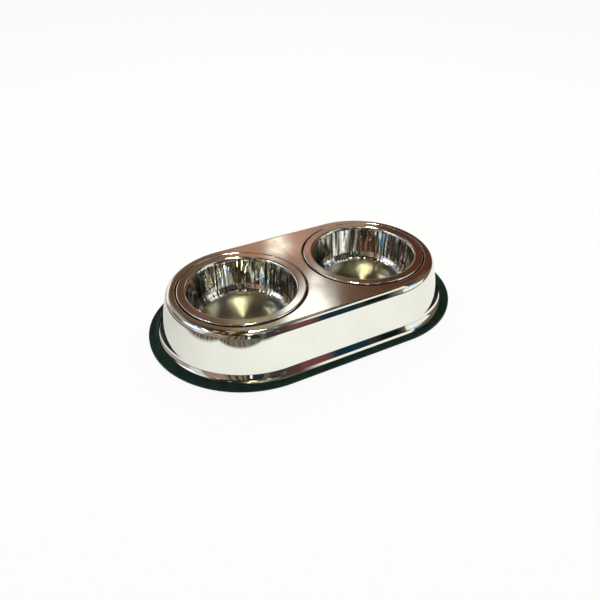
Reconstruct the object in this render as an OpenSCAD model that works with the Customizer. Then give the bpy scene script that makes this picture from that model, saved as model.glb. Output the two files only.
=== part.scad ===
// Double pet bowl: two lift-out steel bowls in a pressed steel stand on a rubber ring.
// Millimetres. The origin is on the floor under the middle of the stand, X runs along its length, +Z is up.

/* [Bowls] */
// Outer diameter of a bowl across its rolled rim
rim_d = 144; // [120:1:170]
// Width of the rim, from the bowl's mouth to its outer edge
rim_w = 10.5; // [8:0.5:15]
// Height of a bowl, from its underside to the top of its rim
bowl_h = 45; // [30:1:60]
// Thickness of a bowl's sheet
bowl_t = 0.7; // [0.5:0.05:0.9]
// Lean of a bowl's wall from the vertical, in degrees
bowl_lean = 5; // [0:0.5:12]
// Inside radius of the corner between a bowl's floor and its wall
corner_r = 9; // [5:0.5:12]
// Radius of the bend from a bowl's wall into its rim
mouth_bend_r = 2; // [1.5:0.1:3]
// Diameter of the rolled bead along the edge of a rim
bead_d = 2.8; // [2.4:0.1:4]

/* [Stand] */
// Gap between the two rims at the middle of the stand
rim_gap = 16; // [10:1:40]
// How far the rims stand above the stand's flat top
rim_proud = 1.1; // [0.6:0.1:1.4]
// Height of the bowls' undersides above the floor
under_bowl = 12; // [9:0.5:30]
// Flat top between a rim and the shoulder, at the ends of the stand
end_land = 5; // [4.5:0.5:20]
// Flat top between a rim and the shoulder, along the sides of the stand
side_land = 9.5; // [8:0.5:30]
// Outside radius of the rounded shoulder
shoulder_r = 8; // [4:0.5:12]
// Slope of the skirt from the vertical, in degrees
skirt_slope = 12; // [5:0.5:20]
// Radius of the hollow curve in which the skirt turns out to its level edge
flare_r = 12; // [8:0.5:16]
// Height of the top of the skirt's edge above the floor
edge_z = 2.6; // [2.2:0.1:5]
// Thickness of the stand's sheet
stand_t = 0.8; // [0.6:0.05:1]

/* [Seats] */
// Clearance under a bowl's bead, above the ledge that carries it
seat_gap = 0.3; // [0.2:0.05:0.5]
// Clearance round a bowl's bead, inside the step of its seat
seat_clear = 1.6; // [0.8:0.1:2.4]
// Clearance between a bowl's wall and the hole that it passes through
hole_clear = 3.4; // [2:0.1:4]
// Inside radius of the bend where the seat turns down into its hole
hole_bend_r = 0.7; // [0.4:0.1:1]
// Straight depth of the lip round the hole
hole_lip_h = 2; // [1:0.5:4]

/* [Rubber ring] */
// How far the rubber reaches past the edge of the skirt
ring_reach = 3.5; // [2.5:0.1:8]
// Width of the skirt's edge that the rubber's upper lip covers along the sides of the stand
ring_cover = 3.3; // [2.5:0.1:5]
// The same width at the ends of the stand, where the stretched rubber climbs further up the skirt
ring_end_cover = 7.5; // [5.5:0.1:8.5]
// Width of the skirt's edge that the rubber's lower lip lies under
ring_under = 6; // [5:0.5:10]
// Height of the rubber's top face above the skirt's edge
ring_rise = 1; // [0.8:0.1:3]
// Thickness of the upper lip where it lies on the skirt's hollow curve
ring_lip_t = 0.6; // [0.4:0.1:2]
// Radius of the rubber's outer top edge
ring_edge_r = 0.8; // [0.4:0.1:1.5]
// Chamfer along the rubber's outer bottom edge
ring_chamfer = 0.4; // [0.2:0.1:1]
// Clearance between the rubber and the steel in its groove
groove_clear = 0.1; // [0.05:0.05:0.3]

/* [Hidden] */
$fn = 144;
// Straight steps in each arc of a profile
arc_steps = 8;
// Turn of the rolled bead, in degrees
bead_turn = 250;

// Share of a seat step's depth, less the sheet, that each of its two bends takes inside
step_bend_share = 1 / 3;

// Bowls
rim_r = rim_d / 2;
mouth_r = rim_r - rim_w;
bead_r = bead_d / 2;
bowl_c = (rim_d + rim_gap) / 2;
rim_z = under_bowl + bowl_h;
floor_z = under_bowl + bowl_t;
corner_top_z = floor_z + corner_r * (1 - sin(bowl_lean));
bend_bottom_z = rim_z - mouth_bend_r * (1 - sin(bowl_lean));
bowl_floor_r = mouth_r - (bend_bottom_z - corner_top_z) * tan(bowl_lean) - corner_r * cos(bowl_lean);
mouth_bend_c = mouth_r + mouth_bend_r * cos(bowl_lean);

// Stand
top_z = rim_z - rim_proud;
top_flat_r = rim_r + side_land;
end_c = bowl_c + rim_r + end_land - top_flat_r;
shoulder_c_z = top_z - shoulder_r;
flare_c_z = edge_z + flare_r;
skirt_top_r = top_flat_r + shoulder_r * cos(skirt_slope);
skirt_top_z = shoulder_c_z + shoulder_r * sin(skirt_slope);
skirt_bottom_z = flare_c_z - flare_r * sin(skirt_slope);
skirt_bottom_r = skirt_top_r + (skirt_top_z - skirt_bottom_z) * tan(skirt_slope);
edge_r = skirt_bottom_r + flare_r * cos(skirt_slope);

// Seats
step_r = rim_r + seat_clear;
step_h = bead_d - rim_proud + seat_gap;
ledge_z = top_z - step_h;
step_bend_r = (step_h - stand_t) * step_bend_share;
seat_r = step_r + step_bend_r + stand_t;
hole_r = mouth_r + bowl_t + hole_clear;
hole_bend_c = hole_r + hole_bend_r + stand_t;
hole_lip_z = ledge_z - stand_t - hole_bend_r - hole_lip_h;

// Rubber ring
ring_out_r = edge_r + ring_reach;
ring_in_r = edge_r - ring_under;
ring_h = edge_z + ring_rise;
groove_r = edge_r + groove_clear;
groove_bottom_z = edge_z - stand_t - groove_clear;
lip_under_r = flare_r - groove_clear;
lip_top_r = lip_under_r - ring_lip_t;
// Turn of the hollow curve, from its level edge, at which the lip rises out of the rubber's top face
lip_turn = acos(min(1, (flare_c_z - ring_h) / lip_top_r));
opening_r = edge_r - ring_cover;
opening_c = end_c - ring_end_cover + ring_cover;
opening_z = edge_z - stand_t / 2;

// Points along an arc about c, from angle a to angle b
function arc(c, r, a, b) = [
    for (i = [0 : arc_steps]) c + r * [cos(a + (b - a) * i / arc_steps), sin(a + (b - a) * i / arc_steps)]
];

// A list in the opposite order
function reversed(list) = [for (i = [len(list) - 1 : -1 : 0]) list[i]];

// One face of the stand's sheet, from the middle of the top to the edge of the skirt.
// The depth is 0 for the outer face and the sheet's thickness for the inner one.
function stand_face(depth) = concat(
    [[0, top_z - depth]],
    arc([top_flat_r, shoulder_c_z], shoulder_r - depth, 90, skirt_slope),
    arc([edge_r, flare_c_z], flare_r + depth, 180 + skirt_slope, 270)
);

// One face of a seat's sheet, from the flat top down the step, over the ledge and into the hole
function seat_face(depth) = concat(
    arc([seat_r, ledge_z + step_h - step_bend_r - stand_t], step_bend_r + stand_t - depth, 90, 180),
    arc([step_r - step_bend_r, ledge_z + step_bend_r], step_bend_r + depth, 0, -90),
    arc([hole_bend_c, ledge_z - stand_t - hole_bend_r], hole_bend_r + stand_t - depth, 90, 180),
    [[hole_r + depth, hole_lip_z]]
);

// One face of a bowl's sheet, from the middle of the floor up the wall, over the rim and round the bead
function bowl_face(depth) = concat(
    [[0, floor_z - depth]],
    arc([bowl_floor_r, floor_z + corner_r], corner_r + depth, -90, -bowl_lean),
    arc([mouth_bend_c, rim_z - mouth_bend_r], mouth_bend_r - depth, 180 - bowl_lean, 90),
    arc([rim_r - bead_r, rim_z - bead_r], bead_r - depth, 90, 90 - bead_turn)
);

// The rubber's profile, with the groove that takes the skirt's edge.
// Its upper lip is drawn all the way up the hollow curve, and the opening trims it.
ring_profile = concat(
    [[ring_in_r, 0], [ring_out_r - ring_chamfer, 0], [ring_out_r, ring_chamfer]],
    arc([ring_out_r - ring_edge_r, ring_h - ring_edge_r], ring_edge_r, 0, 90),
    arc([edge_r, flare_c_z], lip_top_r, 270 - lip_turn, 180 + skirt_slope),
    arc([edge_r, flare_c_z], lip_under_r, 180 + skirt_slope, 270),
    [[groove_r, flare_c_z - lip_under_r], [groove_r, groove_bottom_z], [ring_in_r, groove_bottom_z]]
);

// A profile swept round the stand's outline: two half turns joined by straight sides
module racetrack(profile) {
    for (side = [-1, 1])
        translate([side * end_c, 0, 0])
            rotate([0, 0, -90 * side])
                rotate_extrude(angle = 180)
                    polygon(profile);
    rotate([90, 0, 90])
        linear_extrude(2 * end_c, center = true)
            for (side = [0, 1])
                mirror([side, 0])
                    polygon(profile);
}

// A stepped seat for one bowl, as a ring that continues the stand's flat top
module seat() {
    rotate_extrude()
        polygon(concat(seat_face(0), reversed(seat_face(stand_t))));
}

// The round piece of flat top that a seat takes the place of
module seat_blank() {
    translate([0, 0, top_z - 2 * stand_t])
        cylinder(r = seat_r, h = 3 * stand_t);
}

module stand_shell() {
    color("#b8aca2") {
        difference() {
            racetrack(concat(stand_face(0), reversed(stand_face(stand_t))));
            for (side = [-1, 1])
                translate([side * bowl_c, 0, 0])
                    seat_blank();
        }
        for (side = [-1, 1])
            translate([side * bowl_c, 0, 0])
                seat();
    }
}

// The space over the skirt that the rubber's upper lip leaves free
module lip_opening() {
    translate([0, 0, opening_z]) {
        for (side = [-1, 1])
            translate([side * opening_c, 0, 0])
                cylinder(r = opening_r, h = flare_r);
        translate([0, 0, flare_r / 2])
            cube([2 * opening_c, 2 * opening_r, flare_r], center = true);
    }
}

module rubber_base_ring() {
    color("#14201d")
        difference() {
            racetrack(ring_profile);
            lip_opening();
        }
}

// One lift-out bowl, standing in its seat
module bowl() {
    color("#c9c4ba")
        rotate_extrude()
            polygon(concat(bowl_face(0), reversed(bowl_face(bowl_t))));
}

module left_bowl() {
    translate([-bowl_c, 0, 0])
        bowl();
}

module right_bowl() {
    translate([bowl_c, 0, 0])
        bowl();
}

stand_shell();
rubber_base_ring();
left_bowl();
right_bowl();
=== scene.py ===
# %% [markdown]
# # Double pet bowl
# Two round steel bowls hang in a long pressed stand, and a rubber ring round its foot keeps it from sliding.
# The frame holds the measured solids. This lesson dresses them: it makes each pressing again with a finer,
# smoother skin, because polished steel shows every facet, and then gives each skin its finish.

# %% Load the frame
import math

import bpy
from mathutils import Matrix, Vector


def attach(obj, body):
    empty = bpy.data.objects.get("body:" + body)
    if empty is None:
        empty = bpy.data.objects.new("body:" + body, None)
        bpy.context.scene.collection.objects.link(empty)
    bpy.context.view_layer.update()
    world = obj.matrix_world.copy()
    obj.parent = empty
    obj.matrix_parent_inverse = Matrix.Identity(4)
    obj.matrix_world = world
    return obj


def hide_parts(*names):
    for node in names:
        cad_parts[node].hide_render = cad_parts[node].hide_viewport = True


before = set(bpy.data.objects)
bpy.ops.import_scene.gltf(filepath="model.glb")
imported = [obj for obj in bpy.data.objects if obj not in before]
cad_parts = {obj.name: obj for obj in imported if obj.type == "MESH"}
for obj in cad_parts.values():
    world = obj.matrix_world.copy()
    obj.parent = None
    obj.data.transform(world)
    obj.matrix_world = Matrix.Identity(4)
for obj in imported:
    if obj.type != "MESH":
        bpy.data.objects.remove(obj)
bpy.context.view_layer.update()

MM = 0.001
print("nodes:", sorted(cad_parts))

# %% [markdown]
# ## The camera
# It stands above the left front corner and looks down about 36 degrees, as in the photograph. The place, the
# lens and the small shift were worked out from the outline of the rims and of the stand. Blender's camera
# looks along its own -Z, so its matrix has the right, up and back directions as columns.

# %% Set the camera
CAMERA_AZIMUTH = math.radians(-29.09)
CAMERA_ELEVATION = math.radians(35.63)
CAMERA_ROLL = math.radians(0.36)
CAMERA_DISTANCE = 0.7512
CAMERA_LENS = 37.16
SENSOR_WIDTH = 36
CAMERA_SHIFT = (-0.00777, 0.01287)

back = Vector((
    math.sin(CAMERA_AZIMUTH) * math.cos(CAMERA_ELEVATION),
    -math.cos(CAMERA_AZIMUTH) * math.cos(CAMERA_ELEVATION),
    math.sin(CAMERA_ELEVATION),
))
level = Vector((math.cos(CAMERA_AZIMUTH), math.sin(CAMERA_AZIMUTH), 0))
upright = back.cross(level)
right = math.cos(CAMERA_ROLL) * level + math.sin(CAMERA_ROLL) * upright
up = math.cos(CAMERA_ROLL) * upright - math.sin(CAMERA_ROLL) * level

camera_data = bpy.data.cameras.new("camera")
camera_data.sensor_width = SENSOR_WIDTH
camera_data.lens = CAMERA_LENS
camera_data.shift_x, camera_data.shift_y = CAMERA_SHIFT
camera = bpy.data.objects.new("camera", camera_data)
bpy.context.scene.collection.objects.link(camera)
axes = Matrix((right, up, back)).transposed().to_4x4()
camera.matrix_world = Matrix.Translation(back * CAMERA_DISTANCE) @ axes
bpy.context.scene.camera = camera
print("camera at", [round(v, 3) for v in camera.location])

# %% [markdown]
# ## Sizes
# The sizes here and in the pieces' own cells are those of the solids, in metres, so a skin lies where its
# solid does. A size that comes from two others is worked out from them, as in the solids' source: the bead,
# the seat and the rubber's groove then fit each other. First come the sizes that more than one piece needs.

# %% Sizes that the pieces share
RIM_R = 72 * MM
RIM_WIDTH = 10.5 * MM
BOWL_SHEET = 0.7 * MM
BOWL_X = 80 * MM
STAND_SHEET = 0.8 * MM
TOP_Z = 55.9 * MM
TOP_R = 81.5 * MM
END_X = 75.5 * MM

mouth_r = RIM_R - RIM_WIDTH
print(f"a bowl's mouth {2 * mouth_r / MM:.1f} mm")

# %% [markdown]
# ## Skins with exact normals
# A pressing is one sheet bent along a few arcs. Subdivision would only come near those arcs, and a mirror
# shows the difference as a wobble. So each profile is a list of points that already know their normals, taken
# from the arc's own centre. The skin keeps these normals as custom normals, and flat parts stay flat right up
# to the bend.

# %% Profiles made of bends
def towards(centre, distance, degrees):
    """The point at a distance from a centre, in a direction of the profile's plane."""
    a = math.radians(degrees)
    return centre[0] + distance * math.cos(a), centre[1] + distance * math.sin(a)


def bend(centre, radius, start, end, steps, hollow=False):
    """Points and normals (r, z, normal r, normal z) along an arc. A hollow face looks at the arc's centre."""
    looks = -1 if hollow else 1
    angles = [start + (end - start) * i / steps for i in range(steps + 1)]
    return [(*towards(centre, radius, a), *towards((0, 0), looks, a)) for a in angles]


# %% A skin and the ways to fill it
WELD = 1e-8


class Skin:
    """Points with their normals, and faces that are wound to look the way their normals do."""

    def __init__(self):
        self.places, self.normals, self.faces, self.known = [], [], [], {}

    def point(self, place, normal):
        """The number of the point at a place. Two points closer than the weld are one point."""
        key = tuple(round(v / WELD) for v in place)
        if key not in self.known:
            self.known[key] = len(self.places)
            self.places.append(Vector(place))
            self.normals.append(Vector(normal).normalized())
        return self.known[key]

    def face(self, corners):
        """One face. Corners that fell together count once, and the face is turned to look the right way."""
        corners = list(dict.fromkeys(corners))
        if len(corners) < 3:
            return
        a, b, c = (self.places[i] for i in corners[:3])
        looks = sum((self.normals[i] for i in corners), Vector())
        if (b - a).cross(c - a).dot(looks) < 0:
            corners.reverse()
        self.faces.append(corners)

    def quads(self, rows, closed):
        """Joins each row of point numbers to the next one, and the last to the first if closed."""
        for i in range(len(rows) if closed else len(rows) - 1):
            one, two = rows[i], rows[(i + 1) % len(rows)]
            for k in range(len(one) - 1):
                self.face([one[k], one[k + 1], two[k + 1], two[k]])

    def row(self, profile, station):
        """A profile's point numbers at one station, which is (x of its axis, direction away from it)."""
        axis, (dx, dy) = station
        return [self.point((axis + r * dx, r * dy, z), (nr * dx, nr * dy, nz)) for r, z, nr, nz in profile]

    def sweep(self, profile, stations):
        """Carries a profile round stations."""
        self.quads([self.row(profile, station) for station in stations], closed=True)

    def build(self, name):
        """Makes the mesh, keeps the normals as they were worked out, and puts the piece in the scene."""
        mesh = bpy.data.meshes.new(name)
        mesh.from_pydata(self.places, [], self.faces)
        mesh.validate()
        mesh.shade_smooth()
        mesh.normals_split_custom_set_from_vertices(self.normals)
        piece = bpy.data.objects.new(name, mesh)
        bpy.context.scene.collection.objects.link(piece)
        print(f"{name}: {len(self.places)} points, {len(self.faces)} faces")
        return piece


# %% [markdown]
# ## Stations
# A bowl is swept round a circle. The stand is swept round a racetrack outline, two half circles joined by
# straight sides. Its flat top has to meet both this outline and the two round seats. So the seats' angles are
# chosen first, and a ray from a seat's centre at each angle finds the outline's station. The top is then
# filled with plain rows of four-sided faces.

# %% Stations round a circle and round the stand
TURN_STEPS = 240
ARC_STATIONS = 64
SIDE_STATIONS = 24
MIDDLE_STATIONS = 32


def direction(angle):
    return math.cos(angle), math.sin(angle)


def spread(start, end, steps):
    """Even steps from a start, without the end."""
    return [start + (end - start) * i / steps for i in range(steps)]


full_circle = [(0, direction(a)) for a in spread(0, math.tau, TURN_STEPS)]
side_starts = math.atan2(TOP_R, END_X - BOWL_X)
middle_starts = math.atan2(TOP_R, -BOWL_X)
half_turn = spread(0, side_starts, ARC_STATIONS) + spread(side_starts, middle_starts, SIDE_STATIONS)
half_turn += spread(middle_starts, math.pi, MIDDLE_STATIONS)
seat_angles = sorted([-a for a in half_turn[1:]] + half_turn + [math.pi])


def outline_station(angle):
    """Where a ray from the right seat's centre meets the outline: (x of the axis, direction away from it)."""
    dx, dy = direction(angle)
    if abs(angle) < side_starts:
        offset = BOWL_X - END_X
        along = math.sqrt(TOP_R**2 - (offset * dy) ** 2) - offset * dx
        return END_X, ((offset + along * dx) / TOP_R, along * dy / TOP_R)
    return BOWL_X + dx * TOP_R / abs(dy), (0, math.copysign(1, dy))


def mirrored(stations):
    """The same stations on the left half, in the opposite order."""
    return [(-axis, (-dx, dy)) for axis, (dx, dy) in reversed(stations)]


right_half = [outline_station(a) for a in seat_angles if abs(a) <= middle_starts]
outline = right_half + mirrored(right_half)[1:-1]
right_seat = [(BOWL_X, direction(a)) for a in seat_angles]
print(f"{len(outline)} stations round the stand, {len(right_seat)} round each seat")

# %% [markdown]
# ## The stand
# The real stand is one blank of 0.8 mm sheet. A press draws the shoulder, the sloping skirt and the
# turned-out foot in one stroke, pushes the two seats down and trims the edges. The skin follows that: the
# skirt's profile is swept round the outline, the seat's profile round each seat, and both faces of the sheet
# are there, with the trimmed edges rounded between them.

# %% Sizes of the stand
SHOULDER_R = 8 * MM
SKIRT_SLOPE = 12
FLARE_R = 12 * MM
EDGE_Z = 2.6 * MM
SEAT_CLEAR = 1.6 * MM
STEP_H = 2 * MM
STEP_BEND_R = 0.4 * MM
HOLE_CLEAR = 3.4 * MM
HOLE_BEND_R = 0.7 * MM
HOLE_LIP_H = 2 * MM

slope = math.radians(SKIRT_SLOPE)
shoulder_z = TOP_Z - SHOULDER_R
flare_z = EDGE_Z + FLARE_R
skirt_drop = shoulder_z + SHOULDER_R * math.sin(slope) - (flare_z - FLARE_R * math.sin(slope))
skirt_top_r = TOP_R + SHOULDER_R * math.cos(slope)
edge_r = skirt_top_r + skirt_drop * math.tan(slope) + FLARE_R * math.cos(slope)
ledge_z = TOP_Z - STEP_H
step_r = RIM_R + SEAT_CLEAR
seat_r = step_r + STEP_BEND_R + STAND_SHEET
hole_r = mouth_r + BOWL_SHEET + HOLE_CLEAR
print(f"the skirt's edge {edge_r / MM:.2f} mm from the end's centre")

# %% Profiles of the stand
step_edge = (seat_r, ledge_z + STEP_H - STEP_BEND_R - STAND_SHEET)
step_root = (step_r - STEP_BEND_R, ledge_z + STEP_BEND_R)
hole_bend = (hole_r + HOLE_BEND_R + STAND_SHEET, ledge_z - STAND_SHEET - HOLE_BEND_R)
lip_end = (hole_r + STAND_SHEET / 2, hole_bend[1] - HOLE_LIP_H + STAND_SHEET / 2)
foot_turn = 270 - math.degrees(math.asin(STAND_SHEET / 2 / FLARE_R))
foot_end = towards((edge_r, flare_z), FLARE_R + STAND_SHEET / 2, foot_turn)

skirt_profile = (
    bend((TOP_R, shoulder_z), SHOULDER_R, 90, SKIRT_SLOPE, steps=24)
    + bend((edge_r, flare_z), FLARE_R, 180 + SKIRT_SLOPE, foot_turn, steps=24, hollow=True)
    + bend(foot_end, STAND_SHEET / 2, foot_turn - 180, foot_turn - 360, steps=6)
    + bend((edge_r, flare_z), FLARE_R + STAND_SHEET, foot_turn, 180 + SKIRT_SLOPE, steps=10)
    + bend((TOP_R, shoulder_z), SHOULDER_R - STAND_SHEET, SKIRT_SLOPE, 90, steps=10, hollow=True)
)
seat_profile = (
    bend(step_edge, STEP_BEND_R + STAND_SHEET, 90, 180, steps=8)
    + bend(step_root, STEP_BEND_R, 0, -90, steps=8, hollow=True)
    + bend(hole_bend, HOLE_BEND_R + STAND_SHEET, 90, 180, steps=8)
    + bend(lip_end, STAND_SHEET / 2, 180, 360, steps=6)
    + bend(hole_bend, HOLE_BEND_R, 180, 90, steps=5, hollow=True)
    + bend(step_root, STEP_BEND_R + STAND_SHEET, -90, 0, steps=5)
    + bend(step_edge, STEP_BEND_R, 180, 90, steps=5, hollow=True)
)
print(f"{len(skirt_profile)} points across the skirt, {len(seat_profile)} across a seat")

# %% Build the stand
TOP_ROWS = 5


def fill_top(skin, side, z, normal):
    """Rows of faces from one seat out to the outline and the middle of the stand."""
    rows = []
    for angle in seat_angles:
        dx, dy = direction(angle)
        inner = (BOWL_X + seat_r * dx, seat_r * dy)
        outer = (0, -BOWL_X * dy / dx)
        if abs(angle) <= middle_starts:
            axis, (ax, ay) = outline_station(angle)
            outer = (axis + TOP_R * ax, TOP_R * ay)
        shares = [k / TOP_ROWS for k in range(TOP_ROWS + 1)]
        places = [[(1 - t) * a + t * b for a, b in zip(inner, outer)] for t in shares]
        rows.append([skin.point((side * x, y, z), normal) for x, y in places])
    skin.quads(rows, closed=True)


def make_stand():
    skin = Skin()
    skin.sweep(skirt_profile, outline)
    for side in (-1, 1):
        skin.sweep(seat_profile, right_seat if side > 0 else mirrored(right_seat))
        fill_top(skin, side, TOP_Z, (0, 0, 1))
        fill_top(skin, side, TOP_Z - STAND_SHEET, (0, 0, -1))
    piece = skin.build("pressed_stand")
    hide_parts("stand_shell")
    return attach(piece, "stand")


stand = make_stand()

# %% [markdown]
# ## The bowls
# A bowl is drawn from a flat disc, so floor, corner, wall, mouth and rim run into each other, and the raw
# edge is rolled under into a bead that stiffens the rim. Both bowls come from one tool, so they share one
# mesh. Each is an object with its own place, which also puts the material's circles round its own axis.
#
# A drawn wall isn't a perfect cone. It bulges a little, leaves the floor with a quick turn and then goes on
# bending for a long way, so each point of it mirrors something else. Every point of the skin lies on the
# solid, and only the normals of the inner face follow that softer shape. That is enough to send the mirrored
# room up the wall as it goes in a real bowl, with a thin bright line round the floor.

# %% Sizes of a bowl
RIM_Z = 57 * MM
FLOOR_Z = 12.7 * MM
BOWL_LEAN = 5
CORNER_R = 9 * MM
MOUTH_BEND_R = 2 * MM
BEAD_R = 1.4 * MM
BEAD_TURN = 250

lean = math.radians(BOWL_LEAN)
corner_top_z = FLOOR_Z + CORNER_R * (1 - math.sin(lean))
bend_bottom_z = RIM_Z - MOUTH_BEND_R * (1 - math.sin(lean))
floor_r = mouth_r - (bend_bottom_z - corner_top_z) * math.tan(lean) - CORNER_R * math.cos(lean)
print(f"a bowl's flat floor {2 * floor_r / MM:.1f} mm")

# %% Profile of a bowl
mouth_bend = (mouth_r + MOUTH_BEND_R * math.cos(lean), RIM_Z - MOUTH_BEND_R)
corner = (floor_r, FLOOR_Z + CORNER_R)
bead = (RIM_R - BEAD_R, RIM_Z - BEAD_R)
bead_turns_to = 90 - BEAD_TURN
bead_end = towards(bead, BEAD_R - BOWL_SHEET / 2, bead_turns_to)
FLOOR_RINGS = 6
WALL_ROWS = 16
# Heights over which the light's bends reach from the floor and from the rim
LONG_CORNER = 13 * MM
LONG_MOUTH = 4.5 * MM
# A small ease turns the light quickly at the floor's edge and slowly above it
CORNER_EASE = 0.27
WALL_BULGE = math.radians(16)


def floor_rings(z, up):
    """Points of the flat floor from its middle outwards."""
    return [(floor_r * i / FLOOR_RINGS, z, 0, up) for i in range(FLOOR_RINGS)]


def wall_tilt(z):
    """How far the inner face looks up at a height, as an angle from level."""
    bulge = lean + WALL_BULGE * max(0, (bend_bottom_z - z) / (bend_bottom_z - FLOOR_Z))
    from_floor = 1 - min(1, max(0, (z - FLOOR_Z) / LONG_CORNER)) ** CORNER_EASE
    from_rim = math.asin(max(0, 1 - (RIM_Z - z) / LONG_MOUTH))
    return max(bulge + (math.pi / 2 - bulge) * from_floor, from_rim)


def inner_wall():
    """The inner face from the floor to the rim, with the light's bends longer than the sheet's."""
    low = bend(corner, CORNER_R, -90, -BOWL_LEAN, steps=16, hollow=True)
    high = bend(mouth_bend, MOUTH_BEND_R, 180 - BOWL_LEAN, 90, steps=10)
    shares = [i / WALL_ROWS for i in range(1, WALL_ROWS)]
    wall = [tuple((1 - t) * a + t * b for a, b in zip(low[-1], high[0])) for t in shares]
    return [(r, z, -math.cos(wall_tilt(z)), math.sin(wall_tilt(z))) for r, z, *_ in low + wall + high]


bowl_profile = (
    floor_rings(FLOOR_Z, 1)
    + inner_wall()
    + bend(bead, BEAD_R, 90, bead_turns_to, steps=20)
    + bend(bead_end, BOWL_SHEET / 2, bead_turns_to, bead_turns_to - 180, steps=5)
    + bend(bead, BEAD_R - BOWL_SHEET, bead_turns_to, 90, steps=12, hollow=True)
    + bend(mouth_bend, MOUTH_BEND_R - BOWL_SHEET, 90, 180 - BOWL_LEAN, steps=6, hollow=True)
    + bend(corner, CORNER_R + BOWL_SHEET, -BOWL_LEAN, -90, steps=10)
    + floor_rings(FLOOR_Z - BOWL_SHEET, -1)[::-1]
)
print(f"{len(bowl_profile)} points across a bowl")


# %% Build the bowls
def make_bowls():
    skin = Skin()
    skin.sweep(bowl_profile, full_circle)
    left = skin.build("left_feeding_bowl")
    right = bpy.data.objects.new("right_feeding_bowl", left.data)
    bpy.context.scene.collection.objects.link(right)
    for piece, node, x in ((left, "left_bowl", -BOWL_X), (right, "right_bowl", BOWL_X)):
        piece.location = (x, 0, 0)
        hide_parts(node)
        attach(piece, node)
    return left.data


bowl_mesh = make_bowls()

# %% [markdown]
# ## The rubber ring
# It is moulded as one loop with a groove on the inside and stretched over the turned-out foot. Its upper lip
# lies on the steel and its lower lip carries the weight. Round the ends of the stand the stretched rubber
# climbs higher up the steel, so the profile is not the same at every station: a small function gives it for
# each one. Moulded rubber has no sharp edges, so the corners are rounded too.

# %% Sizes of the rubber ring
RING_REACH = 3.5 * MM
RING_COVER = 3.3 * MM
RING_END_COVER = 7.5 * MM
RING_UNDER = 6 * MM
RING_RISE = 1 * MM
RING_LIP = 0.6 * MM
GROOVE_CLEAR = 0.1 * MM

ring_out = edge_r + RING_REACH
ring_in = edge_r - RING_UNDER
ring_top = EDGE_Z + RING_RISE
groove = edge_r + GROOVE_CLEAR
groove_bottom = EDGE_Z - STAND_SHEET - GROOVE_CLEAR
lip_under_r = FLARE_R - GROOVE_CLEAR
lip_top_r = lip_under_r - RING_LIP
opening_r = edge_r - RING_COVER
opening_shift = RING_END_COVER - RING_COVER
print(f"the rubber is {ring_top / MM:.1f} mm high")

# %% Profile of the rubber ring
OUTER_ROUND = 0.8 * MM
FOOT_ROUND = 0.5 * MM
LIP_ROUND = 0.25 * MM
INNER_ROUND = 0.3 * MM
# A point this share of the way to where the lip's arc begins keeps the flat top face's normals upright
FLAT_SHARE = 0.9
GROOVE_SLANT = 0.7


def lip_cover(along):
    """How far the lip covers the foot at a station. Its opening ends nearer the middle than the foot does."""
    if along == 0:
        return RING_COVER
    along = abs(along)
    reach = math.sqrt(opening_r**2 - opening_shift**2 * (1 - along**2)) - opening_shift * along
    return edge_r - reach


def ring_profile(cover):
    """The rubber's profile where its lip covers a given width of the foot."""
    arc_centre = (edge_r, flare_z)
    rise = math.degrees(math.acos((flare_z - ring_top) / lip_top_r))
    lip_turn = math.degrees(math.asin(cover / lip_top_r))
    under_turn = math.degrees(math.asin((cover - LIP_ROUND) / lip_under_r))
    lip_edge = towards(arc_centre, lip_top_r + LIP_ROUND, 270 - lip_turn)
    return (
        bend((ring_out - FOOT_ROUND, FOOT_ROUND), FOOT_ROUND, -90, 0, steps=4)
        + bend((ring_out - OUTER_ROUND, ring_top - OUTER_ROUND), OUTER_ROUND, 0, 90, steps=6)
        + [(edge_r - FLAT_SHARE * lip_top_r * math.sin(math.radians(rise)), ring_top, 0, 1)]
        + bend(arc_centre, lip_top_r, 270 - rise, 270 - lip_turn, steps=6, hollow=True)
        + bend(lip_edge, LIP_ROUND, 90 - lip_turn, 270 - lip_turn, steps=4)
        + bend(arc_centre, lip_under_r, 270 - under_turn, 270, steps=5)
        + [(groove, flare_z - lip_under_r, -GROOVE_SLANT, -GROOVE_SLANT)]
        + [(groove, groove_bottom, -GROOVE_SLANT, GROOVE_SLANT)]
        + bend((ring_in + INNER_ROUND, groove_bottom - INNER_ROUND), INNER_ROUND, 90, 180, steps=3)
        + bend((ring_in + INNER_ROUND, INNER_ROUND), INNER_ROUND, 180, 270, steps=3)
    )


# %% Build the rubber ring
def make_ring():
    skin = Skin()
    rows = []
    for station in outline:
        profile = ring_profile(lip_cover(along=station[1][0]))
        rows.append(skin.row(profile + profile[:1], station))
    skin.quads(rows, closed=True)
    piece = skin.build("moulded_base_ring")
    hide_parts("rubber_base_ring")
    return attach(piece, "stand")


base_ring = make_ring()

# %% [markdown]
# ## Finishes
# Steel has hardly any colour of its own. What tells a mirror-polished skirt from a satin top is how the
# polish scatters a reflection, so the finishes differ in roughness, in fine relief and in the direction of
# the polishing marks. Marks that several finishes share are node groups with named inputs: they are built
# once and placed in each material with its own values. A group puts out heights and masks only, and each
# material keeps its own Principled shader.

# %% Helpers for nodes
def wire(tree, kind, sockets=None, **settings):
    """Adds a node. A socket takes a value or another node's output; settings are the node's own choices."""
    node = tree.nodes.new("ShaderNode" + kind)
    for name, value in settings.items():
        setattr(node, name, value)
    for name, value in (sockets or {}).items():
        if isinstance(value, bpy.types.NodeSocket):
            tree.links.new(value, node.inputs[name])
        else:
            node.inputs[name].default_value = value
    return node


def calc(tree, operation, *values):
    """One step of arithmetic on values or outputs."""
    return wire(tree, "Math", dict(enumerate(values)), operation=operation).outputs[0]


def split(tree, vector):
    """A vector's three parts."""
    return wire(tree, "SeparateXYZ", {0: vector}).outputs


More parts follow.
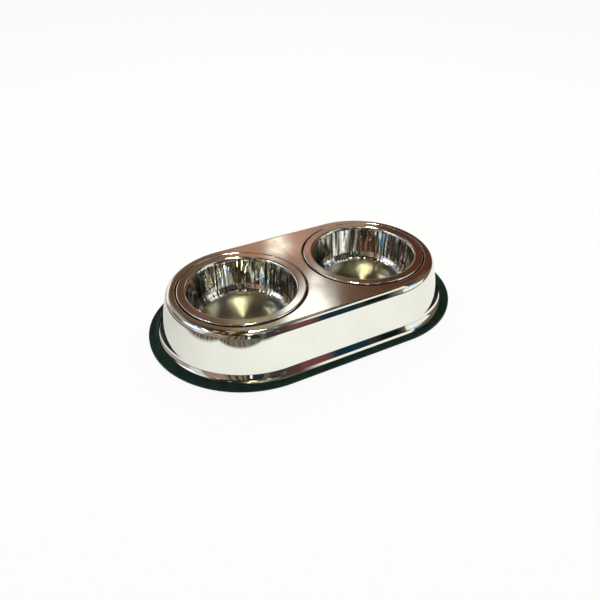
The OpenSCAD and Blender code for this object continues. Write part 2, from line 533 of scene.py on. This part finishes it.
def join(tree, x=0.0, y=0.0, z=0.0):
    """A vector from its parts."""
    return wire(tree, "CombineXYZ", {0: x, 1: y, 2: z}).outputs[0]


def scale(tree, vector, factor):
    return wire(tree, "VectorMath", {0: vector, "Scale": factor}, operation="SCALE").outputs[0]


def normalize(tree, vector):
    return wire(tree, "VectorMath", {0: vector}, operation="NORMALIZE").outputs[0]


def noise(tree, place, density, detail, roughness=0.5):
    """Noise about 0.5. The density is the number of its features in one unit of the place."""
    sockets = {"Vector": place, "Scale": density, "Detail": detail, "Roughness": roughness}
    return wire(tree, "TexNoise", sockets).outputs[0]


def ramp(tree, value, begin, end, low=0.0, high=1.0, soft=False):
    """Goes from low to high while a value goes from begin to end, and stays there."""
    kind = "SMOOTHSTEP" if soft else "LINEAR"
    sockets = {0: value, 1: begin, 2: end, 3: low, 4: high}
    return wire(tree, "MapRange", sockets, interpolation_type=kind).outputs[0]


# %% Helper for groups
def new_group(name, inputs, outputs):
    """A group with its two end nodes. Inputs are {name: value}, where None is a vector; outputs are names."""
    tree = bpy.data.node_groups.new(name, "ShaderNodeTree")
    for label, value in inputs.items():
        kind = "NodeSocketVector" if value is None else "NodeSocketFloat"
        socket = tree.interface.new_socket(label, in_out="INPUT", socket_type=kind)
        if value is not None:
            socket.default_value = value
    for label in outputs:
        tree.interface.new_socket(label, in_out="OUTPUT", socket_type="NodeSocketFloat")
    return tree, tree.nodes.new("NodeGroupInput").outputs, tree.nodes.new("NodeGroupOutput").inputs


# %% [markdown]
# ### Polishing rings
# The top, the rims and the floors are finished on a turning machine, so their marks are circles round each
# bowl's axis. The group measures the distance from the axis and reads a noise that changes fast along it and
# slowly round it. That gives broken rings, where a wave texture would give a perfect and lifeless groove. A
# wider noise gives bands of more and of less polish.

# %% Group: rings round an axis
BANDS_PER_RING = 0.07


def make_rings_group():
    names = {"Place": None, "Spacing": 0.001, "Breaks": 6.0}
    tree, given, made = new_group("rings_round_an_axis", names, ["Height", "Mask"])
    x, y, z = split(tree, given["Place"])
    flat = join(tree, x, y)
    radius = wire(tree, "VectorMath", {0: flat}, operation="LENGTH").outputs["Value"]
    slow = split(tree, scale(tree, normalize(tree, flat), given["Breaks"]))
    rings = calc(tree, "DIVIDE", radius, given["Spacing"])
    bands = calc(tree, "MULTIPLY", rings, BANDS_PER_RING)
    height = noise(tree, join(tree, slow[0], slow[1], rings), 1.0, detail=3.0, roughness=0.6)
    mask = noise(tree, join(tree, slow[0], slow[1], bands), 1.0, detail=1.0)
    tree.links.new(height, made["Height"])
    tree.links.new(mask, made["Mask"])
    return tree


rings_group = make_rings_group()

# %% [markdown]
# ### Draw lines
# Deep drawing pulls the wall of a bowl over the edge of a die. That leaves upright lines and shallow swells
# round the wall, and a polished wall breaks up every reflection into upright streaks. The group reads one
# noise round the axis that hardly changes with height: slow for the swells, and fast for the lines.

# %% Group: draw lines
LINE_DETAIL = 1.5


def make_draw_lines_group():
    names = {"Place": None, "Swells": 5.0, "Lines": 22.0, "Run": 12.0}
    tree, given, made = new_group("draw_lines", names, ["Swell", "Line"])
    x, y, z = split(tree, given["Place"])
    round_it = normalize(tree, join(tree, x, y))
    run = join(tree, z=calc(tree, "MULTIPLY", z, given["Run"]))
    for count, output in (("Swells", "Swell"), ("Lines", "Line")):
        scaled = scale(tree, round_it, given[count])
        seed = wire(tree, "VectorMath", {0: scaled, 1: run}, operation="ADD").outputs[0]
        tree.links.new(noise(tree, seed, 1.0, LINE_DETAIL), made[output])
    return tree


draw_lines_group = make_draw_lines_group()

# %% [markdown]
# ### The sheet's ripple and its handling marks
# A pressed sheet is never quite flat: over a few centimetres it swells by some hundredths of a millimetre,
# and only a mirror shows it. Cloudy handling marks make a mirror a little duller in places. Both come from
# noise in the object's own coordinates, so they stay with the piece when it moves.

# %% Groups: ripple and handling marks
SPECKS_PER_CLOUD = 22.0


def make_ripple_group():
    tree, given, made = new_group("sheet_ripple", {"Place": None, "Size": 0.04}, ["Height"])
    density = calc(tree, "DIVIDE", 1.0, given["Size"])
    height = noise(tree, given["Place"], density, detail=1.5, roughness=0.35)
    tree.links.new(height, made["Height"])
    return tree


def make_marks_group():
    tree, given, made = new_group("handling_marks", {"Place": None, "Size": 0.03}, ["Cloud", "Specks"])
    density = calc(tree, "DIVIDE", 1.0, given["Size"])
    cloud = noise(tree, given["Place"], density, detail=5.0, roughness=0.6)
    fine = calc(tree, "MULTIPLY", density, SPECKS_PER_CLOUD)
    dots = wire(tree, "TexVoronoi", {"Vector": given["Place"], "Scale": fine, "Randomness": 1.0})
    tree.links.new(ramp(tree, cloud, 0.42, 0.72, soft=True), made["Cloud"])
    tree.links.new(ramp(tree, dots.outputs["Distance"], 0.16, 0.05), made["Specks"])
    return tree


ripple_group = make_ripple_group()
marks_group = make_marks_group()
print("groups:", [group.name for group in bpy.data.node_groups])

# %% [markdown]
# ### Mirror-polished steel
# The skirt, the shoulder, the foot and the outsides of the bowls are buffed until they mirror the room. The
# base colour is the share of light that polished stainless steel sends back, a little less in the blue. The
# ripple bends the mirror image by a fraction of a degree.

# %% Helpers for materials
def blend(tree, share, one, two):
    """One colour, or the other where the share is 1."""
    return wire(tree, "Mix", {"Factor": share, 6: one, 7: two}, data_type="RGBA").outputs[2]


def bump(tree, height, strength, distance, **more):
    """A normal that follows a height of up to this distance in metres."""
    sockets = {"Strength": strength, "Distance": distance, "Height": height, **more}
    return wire(tree, "Bump", sockets).outputs[0]


def place_group(tree, group, **sockets):
    """A group in a material, with its inputs given by name (spaces written as underscores)."""
    given = {label.replace("_", " "): value for label, value in sockets.items()}
    return wire(tree, "Group", given, node_tree=group).outputs


def new_material(name, **constants):
    """A material with a Principled shader, whose constant values are set on its own sockets."""
    material = bpy.data.materials.new(name)
    material.use_nodes = True
    shader = material.node_tree.nodes["Principled BSDF"]
    for label, value in constants.items():
        shader.inputs[label.replace("_", " ")].default_value = value
    return material, material.node_tree, shader


def feed(tree, shader, **sources):
    """Links outputs to a shader's sockets, given by name (spaces written as underscores)."""
    for label, source in sources.items():
        tree.links.new(source, shader.inputs[label.replace("_", " ")])


def own_place(tree):
    """The place on the piece, in the piece's own coordinates."""
    return wire(tree, "TexCoord").outputs["Object"]


# %% Material: mirror-polished steel
STEEL = (0.86, 0.86, 0.81, 1)
STEEL_DULL = (0.78, 0.78, 0.73, 1)
CLOUD_ON_MIRROR = 0.4


def make_mirror_steel():
    material, tree, shader = new_material("mirror_polished_steel", Metallic=1.0)
    place = own_place(tree)
    cloud = place_group(tree, marks_group, Place=place, Size=0.035)["Cloud"]
    ripple = place_group(tree, ripple_group, Place=place, Size=0.05)["Height"]
    colour = blend(tree, calc(tree, "MULTIPLY", cloud, CLOUD_ON_MIRROR), STEEL, STEEL_DULL)
    roughness = ramp(tree, cloud, 0.0, 1.0, low=0.025, high=0.06)
    normal = bump(tree, ripple, strength=0.25, distance=0.0004)
    feed(tree, shader, Base_Color=colour, Roughness=roughness, Normal=normal)
    return material


mirror_steel = make_mirror_steel()
print("material:", mirror_steel.name)

# %% [markdown]
# ### Drawn walls
# The inner walls of the bowls are polished too, but the draw lines show. The swells bend the mirror image
# sideways, and the lines are painted darker and greener, a painted dark reflection in the wall.

# %% Material: drawn wall
# The dark green colour of the draw lines is a painted reflection
WALL_PAINTED_REFLECTION = (0.06, 0.11, 0.085, 1)
PAINTED_STREAK_SHARE = 0.8


def make_drawn_wall():
    material, tree, shader = new_material("drawn_steel_wall", Metallic=1.0)
    place = own_place(tree)
    lines = place_group(tree, draw_lines_group, Place=place, Swells=6.0, Lines=17.0, Run=14.0)
    cloud = place_group(tree, marks_group, Place=place, Size=0.03)["Cloud"]
    # Where the draw lines get the painted dark reflection
    dark = ramp(tree, lines["Line"], 0.50, 0.63, soft=True)
    colour = blend(tree, calc(tree, "MULTIPLY", dark, PAINTED_STREAK_SHARE), STEEL, WALL_PAINTED_REFLECTION)
    roughness = ramp(tree, cloud, 0.0, 1.0, low=0.03, high=0.09)
    swells = bump(tree, lines["Swell"], strength=1.0, distance=0.0018)
    normal = bump(tree, lines["Line"], strength=0.5, distance=0.0003, Normal=swells)
    feed(tree, shader, Base_Color=colour, Roughness=roughness, Normal=normal)
    return material


drawn_wall = make_drawn_wall()
print("material:", drawn_wall.name)

# %% [markdown]
# ### Seats
# No wheel reaches into the narrow steps under the rims, so they stay dull from the press. Their near-black
# colour is painted shadow, which draws a thin dark line round each rim.

# %% Material: dull seat with painted shadow
# Near-black colours of the seat: painted shadow in the gap under the rim
SEAT_PAINTED_SHADOW = (0.035, 0.03, 0.024, 1)
SEAT_PAINTED_SHADOW_PALE = (0.10, 0.09, 0.075, 1)


def make_shadow_painted_seat():
    material, tree, shader = new_material("seat_steel_painted_shadow", Metallic=1.0)
    place = own_place(tree)
    cloud = place_group(tree, marks_group, Place=place, Size=0.015)["Cloud"]
    colour = blend(tree, cloud, SEAT_PAINTED_SHADOW, SEAT_PAINTED_SHADOW_PALE)
    roughness = ramp(tree, cloud, 0.0, 1.0, low=0.45, high=0.35)
    feed(tree, shader, Base_Color=colour, Roughness=roughness)
    return material


shadow_painted_seat = make_shadow_painted_seat()
print("material:", shadow_painted_seat.name)

# %% [markdown]
# ### Satin rims, top and floors
# These are brushed on the turning machine, so they scatter light across the marks and hardly along them. That
# is the shader's anisotropy. Its tangent has to run round the axis: Blender's radial tangent does this for a
# bowl, whose middle is its axis. The stand has two axes, so its tangent is worked out from the place. The
# floors are turned more coarsely, so they draw a lamp out into one soft streak. Their darker, yellower colour
# is a painted reflection.

# %% Where the polishing circles have their axis
def own_axis(tree, place):
    """The place from a bowl's own axis."""
    return place


def round_own_axis(tree, around):
    """Round the piece's own upright axis."""
    return wire(tree, "Tangent", direction_type="RADIAL", axis="Z").outputs[0]


def nearer_seat(tree, place):
    """The place from the axis of the nearer seat. The left half is the right half's mirror image."""
    x, y, z = split(tree, place)
    return join(tree, calc(tree, "SUBTRACT", calc(tree, "ABSOLUTE", x), BOWL_X), y)


def round_seat(tree, around):
    """Square to the way out from the nearer seat, with the left half's sideways part turned back."""
    side = calc(tree, "SIGN", split(tree, own_place(tree))[0])
    x, y, z = split(tree, around)
    return normalize(tree, join(tree, calc(tree, "MULTIPLY", y, -1.0), calc(tree, "MULTIPLY", x, side)))


OWN_AXIS = (own_axis, round_own_axis)
SEAT_AXIS = (nearer_seat, round_seat)

# %% Materials: satin steel
CLEAN = (STEEL, STEEL_DULL)
# The floors' darker, yellower colours are a painted reflection
FLOOR_PAINTED_REFLECTION = ((0.50, 0.485, 0.39, 1), (0.42, 0.405, 0.32, 1))
BAND_SHARE = 0.7
CLOUD_SHARE = 0.3
RING_DEPTH = 0.02 * MM


def make_satin_steel(name, colours, light_spread, grain, spacing, relief, axis):
    """Turned steel. Its roughness runs over the spread of light, and the grain is its anisotropy."""
    place_of, tangent_of = axis
    material, tree, shader = new_material(name, Metallic=1.0, Anisotropic=grain, Anisotropic_Rotation=0.25)
    place = own_place(tree)
    around = place_of(tree, place)
    rings = place_group(tree, rings_group, Place=around, Spacing=spacing, Breaks=3.0)
    cloud = place_group(tree, marks_group, Place=place, Size=0.03)["Cloud"]
    bands = calc(tree, "MULTIPLY", rings["Mask"], BAND_SHARE)
    wear = calc(tree, "ADD", bands, calc(tree, "MULTIPLY", cloud, CLOUD_SHARE))
    colour = blend(tree, cloud, *colours)
    roughness = ramp(tree, wear, 0.0, 1.0, *light_spread)
    normal = bump(tree, rings["Height"], relief, RING_DEPTH)
    tangent = tangent_of(tree, around)
    feed(tree, shader, Base_Color=colour, Roughness=roughness, Normal=normal, Tangent=tangent)
    return material


satin_top = make_satin_steel("satin_steel_top", CLEAN, (0.07, 0.14), 0.5, 0.6 * MM, 0.2, SEAT_AXIS)
satin_rim = make_satin_steel("satin_steel_rim", CLEAN, (0.06, 0.12), 0.5, 0.5 * MM, 0.2, OWN_AXIS)
turned_floor = make_satin_steel("turned_steel_floor", FLOOR_PAINTED_REFLECTION, (0.27, 0.31), 0.93, 0.7 * MM, 0.05, OWN_AXIS)
print("materials:", [material.name for material in (satin_top, satin_rim, turned_floor)])

# %% [markdown]
# ### Rubber
# The ring is carbon-black rubber with a green cast, straight from the mould: matt, with a fine grain, a few
# pale specks of dust and hardly any shine except at a flat angle.

# %% Material: moulded rubber
RUBBER_DARK = (0.004, 0.015, 0.011, 1)
RUBBER_WORN = (0.007, 0.024, 0.018, 1)
RUBBER_DUST = (0.08, 0.10, 0.09, 1)
DUST_SHARE = 0.35
GRAINS_PER_METRE = 2600.0


def make_rubber():
    material, tree, shader = new_material("moulded_rubber", Specular_IOR_Level=0.2, IOR=1.3)
    place = own_place(tree)
    marks = place_group(tree, marks_group, Place=place, Size=0.02)
    cloud = marks["Cloud"]
    dust = calc(tree, "MULTIPLY", calc(tree, "MULTIPLY", marks["Specks"], cloud), DUST_SHARE)
    colour = blend(tree, dust, blend(tree, cloud, RUBBER_DARK, RUBBER_WORN), RUBBER_DUST)
    roughness = ramp(tree, cloud, 0.0, 1.0, low=0.42, high=0.58)
    grain = noise(tree, place, GRAINS_PER_METRE, detail=2.0)
    normal = bump(tree, grain, strength=0.25, distance=0.06 * MM)
    feed(tree, shader, Base_Color=colour, Roughness=roughness, Normal=normal)
    return material


rubber = make_rubber()
print("material:", rubber.name)

# %% [markdown]
# ## Giving each face its finish
# The buffing wheel and the brush meet where the sheet bends. So a face gets its finish from where it lies. On
# the stand the satin top ends a little way over the shoulder, and the steps of the seats are dull, with
# painted shadow. In a bowl the satin rim ends at the mouth, the wall under it is drawn steel and the level
# floor is turned. All other faces are mirror-polished.

# %% Assign the finishes
TOP_TILT = math.cos(math.radians(14))
RIM_TILT = math.cos(math.radians(18))
DULL_FROM = 0.3 * MM
FLOOR_UP_TO = 1 * MM


def finish_faces(mesh, materials, choose):
    """Gives each face the material whose number is chosen for its centre and normal."""
    for material in materials:
        mesh.materials.append(material)
    for face in mesh.polygons:
        face.material_index = choose(face.center, face.normal)
    counts = [sum(face.material_index == i for face in mesh.polygons) for i in range(len(materials))]
    print(mesh.name, dict(zip([material.name for material in materials], counts)))


def stand_finish(centre, normal):
    """0 mirror, 1 satin, 2 dull with painted shadow."""
    from_axis = math.hypot(abs(centre.x) - BOWL_X, centre.y)
    if from_axis < seat_r - STEP_BEND_R and centre.z < TOP_Z - DULL_FROM:
        return 2
    return 1 if normal.z > TOP_TILT and centre.z > ledge_z - STAND_SHEET / 2 else 0


def bowl_finish(centre, normal):
    """0 mirror, 1 satin, 2 turned, 3 drawn."""
    if normal.z > RIM_TILT and centre.z > RIM_Z - BEAD_R:
        return 1
    if normal.z > TOP_TILT and centre.z < FLOOR_Z + FLOOR_UP_TO:
        return 2
    faces_axis = centre.x * normal.x + centre.y * normal.y < 0
    return 3 if faces_axis and centre.z < RIM_Z - MOUTH_BEND_R else 0


finish_faces(stand.data, (mirror_steel, satin_top, shadow_painted_seat), stand_finish)
finish_faces(bowl_mesh, (mirror_steel, satin_rim, turned_floor, drawn_wall), bowl_finish)
finish_faces(base_ring.data, (rubber,), lambda centre, normal: 0)

# %% [markdown]
# ## The floor
# A plain pale sheet that runs to the horizon. The camera sees it mostly as flat white, and the rest of it
# still takes the light, so the shadow stays. A mirrored ray sees a glowing cream sheet instead, with painted
# shade that makes it a little darker towards the ends of the stand. It ends on the left, in front and at a
# cut corner, and there a dark bench begins, with pale stripes on the left.

# %% Colours of the floor and edges of the sheet
FLOOR_REACH = 12
FLOOR_WHITE = 0.85
FLOOR_COLOUR = (0.92, 0.915, 0.87, 1)
SHEET_GLOW = 1.17
BENCH_DARK = (0.03, 0.035, 0.03, 1)
BENCH_PALE = (0.30, 0.26, 0.20, 1)
WHITE = (1, 1, 1, 1)
# The sheet ends at this x, at this y, and where CORNER_SLANT * x + y reaches the third value
SHEET_LEFT = -0.285
SHEET_FRONT = -0.264
SHEET_CORNER = -0.342
CORNER_SLANT = 0.68
SHEET_SOFT = 0.008


def beyond_sheet(tree, x, y):
    """1 where the bench shows past an edge of the sheet, on the left, in front and at the cut corner."""
    slanted = calc(tree, "MULTIPLY_ADD", x, CORNER_SLANT, y)
    past = 0.0
    for value, edge in ((x, SHEET_LEFT), (y, SHEET_FRONT), (slanted, SHEET_CORNER)):
        mask = ramp(tree, value, edge - SHEET_SOFT, edge + SHEET_SOFT, low=1.0, high=0.0)
        past = calc(tree, "MAXIMUM", past, mask)
    return past


def sheet_glow(tree, x, turn):
    """How brightly the steel sees the sheet: full in front, with painted shade at the ends, darkest at the
    left one.
    """
    forward = calc(tree, "MULTIPLY", calc(tree, "SINE", turn), -1.0)
    ends = ramp(tree, forward, 0.6, 0.93, low=0.89, high=0.97)
    behind = ramp(tree, forward, -0.3, 0.4, low=0.3, high=0.0)
    left = ramp(tree, x, -0.05, -0.15)
    shade = calc(tree, "SUBTRACT", 1.0, calc(tree, "MULTIPLY", behind, left))
    return calc(tree, "MULTIPLY", calc(tree, "MULTIPLY", ends, shade), SHEET_GLOW)


def bench_colour(tree, x, turn):
    """Dark, with pale stripes that run away from the stand on the left."""
    stripes = ramp(tree, noise(tree, join(tree, turn), 38.0, detail=2.0), 0.38, 0.62)
    on_left = ramp(tree, x, -0.10, -0.16)
    return blend(tree, calc(tree, "MULTIPLY", stripes, on_left), BENCH_DARK, BENCH_PALE)


def glow(tree, kind, colour, strength=1.0):
    """A shader that gives off light: Emission on a surface, Background in the world."""
    return wire(tree, kind, {"Color": colour, "Strength": strength}).outputs[0]


def either(tree, share, one, two):
    """One shader, or the other where the share is 1."""
    return wire(tree, "MixShader", {0: share, 1: one, 2: two}).outputs[0]


# %% Make the floor
def make_floor_material():
    material, tree, shader = new_material("pale_floor", Base_Color=FLOOR_COLOUR, Roughness=0.9)
    lit = shader.outputs[0]
    rays = wire(tree, "LightPath").outputs
    x, y, z = split(tree, own_place(tree))
    turn = calc(tree, "ARCTAN2", y, x)
    cream = glow(tree, "Emission", FLOOR_COLOUR, sheet_glow(tree, x, turn))
    bench = glow(tree, "Emission", bench_colour(tree, x, turn))
    white_share = calc(tree, "MULTIPLY", rays["Is Camera Ray"], FLOOR_WHITE)
    seen = either(tree, white_share, lit, glow(tree, "Emission", WHITE))
    sheet = either(tree, FLOOR_WHITE, lit, cream)
    mirrored = either(tree, beyond_sheet(tree, x, y), sheet, bench)
    mixed = either(tree, rays["Is Glossy Ray"], seen, mirrored)
    tree.links.new(mixed, tree.nodes["Material Output"].inputs["Surface"])
    return material


def make_floor():
    reach = FLOOR_REACH
    corners = [(-reach, -reach, 0), (reach, -reach, 0), (reach, reach, 0), (-reach, reach, 0)]
    mesh = bpy.data.meshes.new("studio_floor")
    mesh.from_pydata(corners, [], [(0, 1, 2, 3)])
    mesh.materials.append(make_floor_material())
    floor = bpy.data.objects.new("studio_floor", mesh)
    bpy.context.scene.collection.objects.link(floor)


make_floor()
print(f"floor of {2 * FLOOR_REACH} m each way")

# %% [markdown]
# ## The room that the steel mirrors
# Polished steel looks like its room. Diffuse surfaces get plain, even light from the world, and only a
# mirrored ray sees the room. It is made of soft-edged patches of direction: walls, doors, panels, windows and
# one strong lamp. Each is given by its azimuth (0 along +X, 90 along +Y) and its height above the horizon in
# degrees. The hangings at the ends follow the lines of the skirt, so they are given by the angle from the
# stand's length and the turn about it. The ceiling is dark between rows of small warm and cool lamps. A
# colour is written as the screen colour that polished steel shows when it mirrors the patch.

# %% Group: one patch of the room
HALF_TURN = 180.0


def make_patch_group():
    names = {"Azimuth": 0.0, "Elevation": 0.0, "Middle": 0.0, "Half Width": 10.0}
    names.update({"Low": 0.0, "High": 40.0, "Soft": 3.0})
    tree, given, made = new_group("patch_of_the_room", names, ["Mask"])
    turned = calc(tree, "SUBTRACT", given["Azimuth"], given["Middle"])
    off = calc(tree, "ABSOLUTE", calc(tree, "WRAP", turned, HALF_TURN, -HALF_TURN))
    outside = calc(tree, "MULTIPLY", given["Soft"], -1.0)

    def inside(upper, lower):
        """1 where one value is above the other, with a soft edge."""
        return ramp(tree, calc(tree, "SUBTRACT", upper, lower), outside, given["Soft"], soft=True)

    across = inside(given["Half Width"], off)
    above = inside(given["Elevation"], given["Low"])
    below = inside(given["High"], given["Elevation"])
    mask = calc(tree, "MULTIPLY", across, calc(tree, "MULTIPLY", above, below))
    tree.links.new(mask, made["Mask"])
    return tree


patch_group = make_patch_group()

# %% Colours and places of the room's patches
def seen_in_steel(red, green, blue, power=1.0):
    """The room's colour that polished steel shows as this screen colour, times a power."""
    linear = [((v / 255 + 0.055) / 1.055) ** 2.4 for v in (red, green, blue)]
    return (*(power * v / own for v, own in zip(linear, STEEL)), 1)


ROOM_BASE = seen_in_steel(108, 90, 66)
# From azimuth, to azimuth, low, high, softness, then the screen colour and the power where it isn't 1
ROOM = {
    "bright ceiling": (-128, -58, 62, 91, 6, (245, 245, 232)),
    "ceiling in front": (-58, 35, 68, 91, 6, (168, 165, 148)),
    "ceiling lamps": (36, 62, 56, 91, 4, (240, 236, 222)),
    "ceiling edge": (-125, -58, 44, 60, 6, (116, 114, 104)),
    "left wall": (104, 186, -8, 62, 5, (158, 152, 142)),
    "left wall lit": (146, 187, 27, 60, 5, (255, 252, 246, 1.3)),
    "left dark shelf": (128, 152, 14, 26, 4, (52, 48, 42)),
    "back corner lit": (88, 117, -8, 22, 4, (240, 234, 228)),
    "brown wall": (5, 89, -8, 47, 5, (104, 82, 63)),
    "maroon hanging": (11, 55, 8, 36, 4, (80, 46, 34)),
    "salmon door": (59.5, 69.5, -8, 31.4, 1.3, (172, 130, 107)),
    "salmon frame": (54, 60.5, -8, 29, 1.2, (162, 130, 108)),
    "bluish white door": (-187, -170, -8, 44, 3, (200, 204, 203)),
    "salmon panel": (-170, -143, -8, 48, 3, (150, 126, 110)),
    "striped post": (-143, -114, -8, 52, 1.5, (122, 108, 88)),
    "first slat": (-139, -136.5, -8, 52, 0.8, (46, 40, 30)),
    "second slat": (-131, -127.5, -8, 52, 0.8, (52, 44, 34)),
    "third slat": (-123, -121, -8, 52, 0.8, (40, 34, 26)),
    "teal cupboard": (-118, -96.5, -8, 50, 1.5, (34, 46, 42)),
    "white slat": (-113.5, -110.8, -8, 36, 0.8, (250, 252, 240)),
    "grey post": (-96.5, -90, -8, 56, 1.2, (90, 86, 78)),
    "mauve screen": (-90, -71.5, -8, 56, 1.5, (62, 54, 58)),
    "blue window left": (128, 137, 44, 57, 1.5, (125, 158, 202, 1.4)),
    "blue window right": (-32, -17, 35, 50, 1.5, (112, 148, 198, 1.4)),
    "golden panel": (63, 69.3, 35.8, 42, 1, (152, 143, 114)),
    "dark panel": (72.8, 84, 31.5, 35.3, 0.8, (84, 60, 44)),
    "window": (57.8, 63.2, 34.5, 38, 0.9, (255, 250, 238, 1.5)),
    "window sill": (59.1, 60.7, 32.5, 35, 0.7, (255, 250, 238, 1.5)),
    "low window": (62.9, 64.8, 29.2, 30.4, 0.7, (255, 250, 228, 2.4)),
    "lamp": (59, 65, 60, 77, 1.5, (255, 252, 242, 300.0)),
}
# The same, with an angle from the stand's length and a turn about it in place of azimuth and height
HANGINGS = {
    "brown hanging": (68.3, 72, -16, 74, 0.8, (74, 54, 50)),
    "red hanging": (65.8, 68.6, -16, 74, 0.7, (108, 64, 62)),
    "navy hanging": (61.6, 65.9, -16, 74, 0.7, (20, 44, 58)),
    "black hanging": (57.2, 61.8, 4, 74, 0.8, (12, 22, 20)),
    "pale wall right": (20, 57.3, -16, 56, 2, (236, 237, 222)),
    "light strip": (54, 67.5, 66, 92, 1.5, (240, 238, 222)),
}
print(f"{len(ROOM)} patches and {len(HANGINGS)} hangings")

# %% Paint the room
EVEN_LIGHT = 0.75
LAMP_WARM = (1.0, 0.95, 0.68, 1)
LAMP_COOL = (0.22, 0.42, 1.0, 1)
LAMP_POWER = 13.0
BETWEEN_LAMPS = 0.35
LAMPS_PER_HEIGHT = 5.0
LAMP_SCATTER = 0.8
LOWEST_CEILING = 0.2


def add_ceiling_lamps(tree, room, x, y, z):
    """Darkens the ceiling between small lamps. The place on the ceiling is the direction over its height."""
    high = calc(tree, "MAXIMUM", z, LOWEST_CEILING)
    spot = join(tree, calc(tree, "DIVIDE", x, high), calc(tree, "DIVIDE", y, high))
    sockets = {"Vector": spot, "Scale": LAMPS_PER_HEIGHT, "Randomness": LAMP_SCATTER}
    cells = wire(tree, "TexVoronoi", sockets).outputs
    lamps = ramp(tree, cells["Distance"], 0.30, 0.20, low=BETWEEN_LAMPS, high=LAMP_POWER)
    kind = wire(tree, "SeparateColor", {0: cells["Color"]}).outputs[0]
    tint = blend(tree, ramp(tree, kind, 0.55, 0.70), LAMP_WARM, LAMP_COOL)
    above = ramp(tree, z, 0.68, 0.76)
    share = calc(tree, "MULTIPLY", calc(tree, "SUBTRACT", lamps, 1.0), above)
    share = calc(tree, "ADD", share, 1.0)
    tint = blend(tree, above, WHITE, tint)
    lit = wire(tree, "VectorMath", {0: room, 1: tint}, operation="MULTIPLY").outputs[0]
    return scale(tree, lit, share)


def add_patches(tree, room, patches, across, height):
    """Lays soft-edged patches over a colour. Across and height are a mirrored direction's two angles."""
    for begin, end, low, high, soft, colour in patches.values():
        middle, half_width = (begin + end) / 2, (end - begin) / 2
        mask = place_group(
            tree, patch_group, Azimuth=across, Elevation=height,
            Middle=middle, Half_Width=half_width, Low=low, High=high, Soft=soft,
        )
        room = blend(tree, mask["Mask"], room, seen_in_steel(*colour))
    return room


def paint_room(tree):
    """The room's colour in a mirrored direction."""
    x, y, z = split(tree, wire(tree, "TexCoord").outputs["Generated"])
    azimuth = calc(tree, "DEGREES", calc(tree, "ARCTAN2", y, x))
    elevation = calc(tree, "DEGREES", calc(tree, "ARCSINE", z))
    room = add_patches(tree, ROOM_BASE, ROOM, azimuth, elevation)
    room = add_ceiling_lamps(tree, room, x, y, z)
    from_length = calc(tree, "DEGREES", calc(tree, "ARCCOSINE", x))
    turn = calc(tree, "DEGREES", calc(tree, "ARCTAN2", z, calc(tree, "MULTIPLY", y, -1.0)))
    return add_patches(tree, room, HANGINGS, from_length, turn)


def make_world():
    world = bpy.data.worlds.new("studio")
    bpy.context.scene.world = world
    world.use_nodes = True
    tree = world.node_tree
    tree.nodes.clear()
    mirrored = glow(tree, "Background", paint_room(tree))
    rays = wire(tree, "LightPath").outputs
    even = glow(tree, "Background", WHITE, EVEN_LIGHT)
    lit = either(tree, rays["Is Glossy Ray"], even, mirrored)
    shown = either(tree, rays["Is Camera Ray"], lit, glow(tree, "Background", WHITE))
    tree.links.new(shown, wire(tree, "OutputWorld").inputs["Surface"])


make_world()
print("world:", bpy.context.scene.world.name)

# %% [markdown]
# ### Light on the floor
# One large lamp above gives the soft shadow. The steel doesn't mirror it, because the room has its own lamps.

# %% Light the scene
def soft_lamp(name, place, size, watts):
    """A square lamp that points at the middle of the floor."""
    data = bpy.data.lights.new(name, "AREA")
    data.size = size
    data.energy = watts
    lamp = bpy.data.objects.new(name, data)
    bpy.context.scene.collection.objects.link(lamp)
    lamp.location = place
    lamp.rotation_mode = "QUATERNION"
    lamp.rotation_quaternion = Vector(place).to_track_quat("Z", "Y")
    lamp.visible_glossy = False


soft_lamp("soft_lamp_above", place=(0.3, 0.5, 1.4), size=1.2, watts=9)
print("lamps:", [lamp.name for lamp in bpy.data.lights])

bpy.context.scene.view_settings.view_transform = "Standard"
